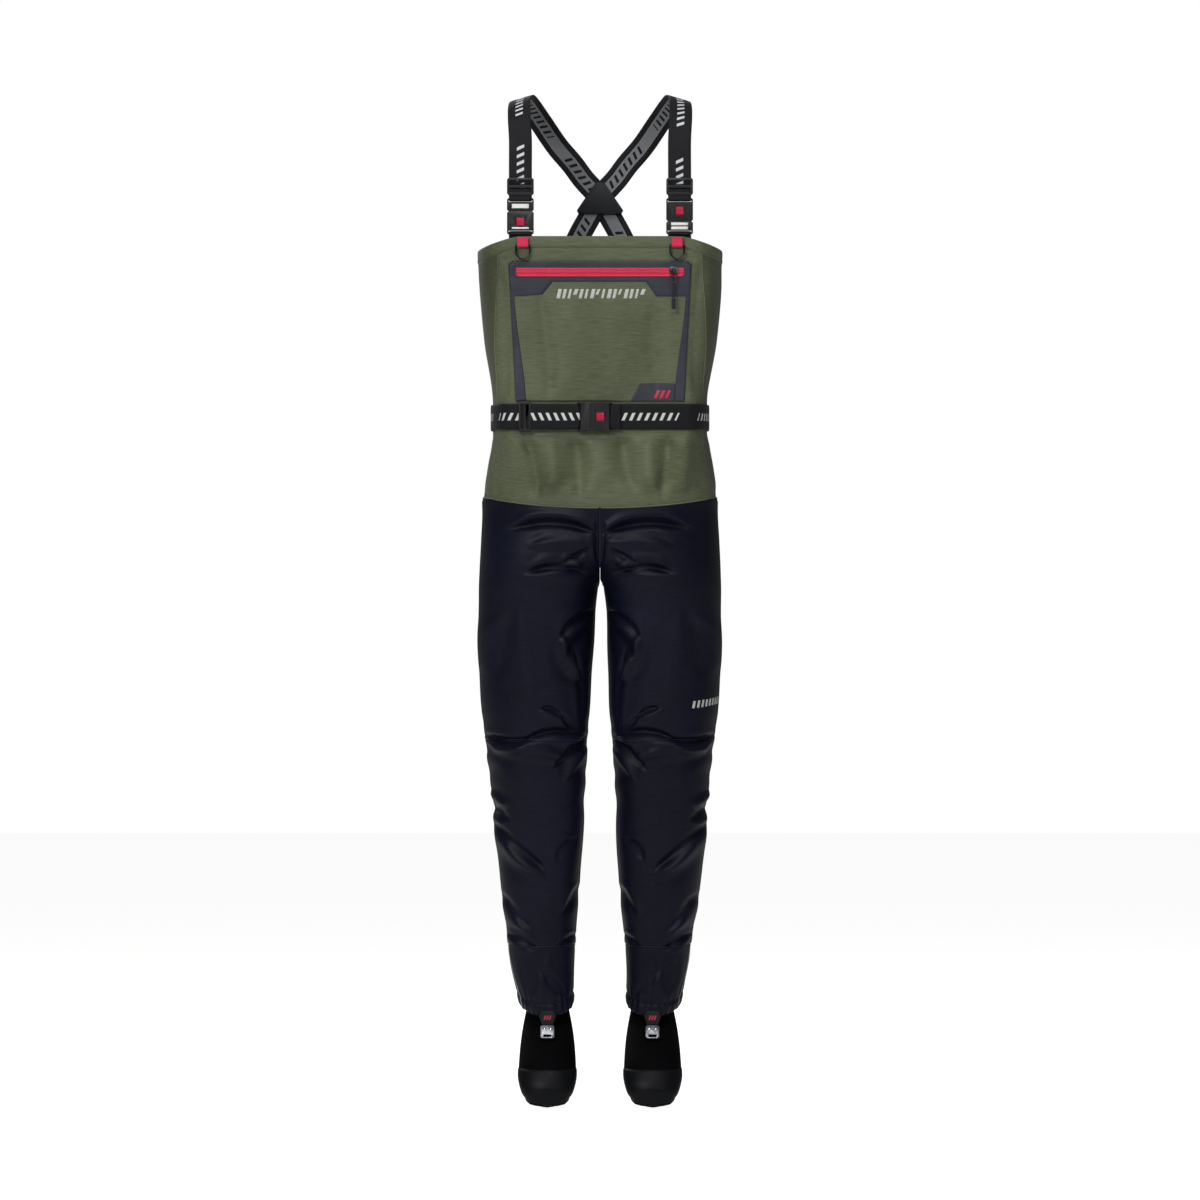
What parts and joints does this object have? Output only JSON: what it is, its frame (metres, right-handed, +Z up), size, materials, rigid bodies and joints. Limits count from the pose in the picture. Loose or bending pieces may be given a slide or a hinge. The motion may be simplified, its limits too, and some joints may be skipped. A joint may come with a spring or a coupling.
{
  "type": "chest waders",
  "caption": "Stocking-foot chest waders with bib pocket, crossed webbing shoulder straps, waist belt, gravel guards and neoprene booties.",
  "frame": {"origin": "midway between the undersides of the two shoulder straps, where they rest on the shoulders", "axes": "+X towards the wearer's left, -Y towards the front, +Z up"},
  "size_m": [0.4076, 0.2576, 1.6741],
  "materials": {
    "olive_fabric": "matte coated laminate",
    "navy_fabric": "matte coated laminate",
    "trim_film": "smooth bonded film",
    "zip_red": "coated zip tape",
    "red_plastic": "satin moulded",
    "red_webbing": "woven",
    "black_webbing": "woven",
    "dark_metal": "dark plated",
    "neoprene": "knit-faced foam",
    "black_rubber": "moulded matte",
    "black_plastic": "fine grain moulded"
  },
  "bodies": {
    "garment": {"back_cross_patch": "black_rubber", "badge_tab_left": "black_rubber", "badge_tab_right": "black_rubber", "belt_loop_left": "black_webbing", "belt_loop_right": "black_webbing", "belt_socket": "black_plastic", "belt_webbing": "black_webbing", "bib_back_panel": "olive_fabric", "bib_front_panel": "olive_fabric", "bib_side_panel_left": "olive_fabric", "bib_side_panel_right": "olive_fabric", "bib_tab_left": "black_webbing", "bib_tab_right": "black_webbing", "bootie_sole_left": "black_rubber", "bootie_sole_right": "black_rubber", "bootie_toe_cap_left": "black_rubber", "bootie_toe_cap_right": "black_rubber", "bootie_upper_left": "neoprene", "bootie_upper_right": "neoprene", "calf_back_left": "navy_fabric", "calf_back_right": "navy_fabric", "chest_hem": "olive_fabric", "gravel_guard_left": "navy_fabric", "gravel_guard_right": "navy_fabric", "pocket_corner_patch": "trim_film", "pocket_panel": "olive_fabric", "pocket_trim": "trim_film", "ring_loop_left": "red_webbing", "ring_loop_right": "red_webbing", "shin_front_left": "navy_fabric", "shin_front_right": "navy_fabric", "shoulder_socket_right": "black_plastic", "shoulder_strap_left": "black_webbing", "shoulder_strap_right": "black_webbing", "shoulder_tongue_left": "black_plastic", "thigh_back_left": "navy_fabric", "thigh_back_right": "navy_fabric", "thigh_front_left": "navy_fabric", "thigh_front_right": "navy_fabric", "zip_tape": "zip_red"},
    "zip_slider": {"zip_slider": "dark_metal"},
    "zip_pull": {"zip_pull": "dark_metal", "zip_pull_grip": "black_rubber"},
    "d_ring_left": {"d_ring_left": "dark_metal"},
    "strap_end_left": {"strap_loop_left": "black_webbing", "shoulder_socket_left": "black_plastic"},
    "strap_adjuster_left": {"strap_adjuster_left": "black_plastic"},
    "shoulder_button_left": {"shoulder_button_left": "red_plastic"},
    "lace_hook_left": {"lace_hook_left": "dark_metal"},
    "d_ring_right": {"d_ring_right": "dark_metal"},
    "strap_end_right": {"strap_loop_right": "black_webbing", "shoulder_tongue_right": "black_plastic"},
    "strap_adjuster_right": {"strap_adjuster_right": "black_plastic"},
    "shoulder_button_right": {"shoulder_button_right": "red_plastic"},
    "lace_hook_right": {"lace_hook_right": "dark_metal"},
    "belt_end": {"belt_free_end": "black_webbing", "belt_tongue": "black_plastic"},
    "belt_slider": {"belt_slider": "black_plastic"},
    "belt_button": {"belt_button": "red_plastic"}
  },
  "joints": [
    {"name": "zip_slide", "type": "slide", "parent": "garment", "child": "zip_slider", "axis": [-1, 0, 0], "range_m": [0, 0.24]},
    {"name": "zip_pull_swing", "type": "hinge", "parent": "zip_slider", "child": "zip_pull", "pos_m": [0.121, -0.12884, -0.29], "axis": [-1, 0, 0], "range_deg": [0, 100]},
    {"name": "d_ring_swing_left", "type": "hinge", "parent": "garment", "child": "d_ring_left", "pos_m": [0.127, -0.1263, -0.248], "axis": [-1, 0, 0], "range_deg": [0, 110]},
    {"name": "strap_release_left", "type": "slide", "parent": "garment", "child": "strap_end_left", "axis": [0, 0, 1], "range_m": [0, 0.02]},
    {"name": "strap_adjust_left", "type": "slide", "parent": "strap_end_left", "child": "strap_adjuster_left", "axis": [0, 0, 1], "range_m": [0, 0.035]},
    {"name": "shoulder_button_press_left", "type": "slide", "parent": "strap_end_left", "child": "shoulder_button_left", "axis": [0, 1, 0], "range_m": [0, 0.002], "stiffness_N_per_m": 400},
    {"name": "lace_hook_swing_left", "type": "hinge", "parent": "garment", "child": "lace_hook_left", "pos_m": [0.087, -0.04611, -1.5365], "axis": [-1, 0, 0], "range_deg": [0, 60]},
    {"name": "d_ring_swing_right", "type": "hinge", "parent": "garment", "child": "d_ring_right", "pos_m": [-0.127, -0.1263, -0.248], "axis": [-1, 0, 0], "range_deg": [0, 110]},
    {"name": "strap_release_right", "type": "slide", "parent": "garment", "child": "strap_end_right", "axis": [0, 0, 1], "range_m": [0, 0.02]},
    {"name": "strap_adjust_right", "type": "slide", "parent": "strap_end_right", "child": "strap_adjuster_right", "axis": [0, 0, 1], "range_m": [0, 0.035]},
    {"name": "shoulder_button_press_right", "type": "slide", "parent": "garment", "child": "shoulder_button_right", "axis": [0, 1, 0], "range_m": [0, 0.002], "stiffness_N_per_m": 400},
    {"name": "lace_hook_swing_right", "type": "hinge", "parent": "garment", "child": "lace_hook_right", "pos_m": [-0.087, -0.04611, -1.5365], "axis": [-1, 0, 0], "range_deg": [0, 60]},
    {"name": "belt_release", "type": "slide", "parent": "garment", "child": "belt_end", "axis": [-1, 0, 0], "range_m": [0, 0.02]},
    {"name": "belt_adjust", "type": "slide", "parent": "garment", "child": "belt_slider", "axis": [1, 0, 0], "range_m": [0, 0.035]},
    {"name": "belt_button_press", "type": "slide", "parent": "garment", "child": "belt_button", "axis": [0, 1, 0], "range_m": [0, 0.002], "stiffness_N_per_m": 400}
  ]
}
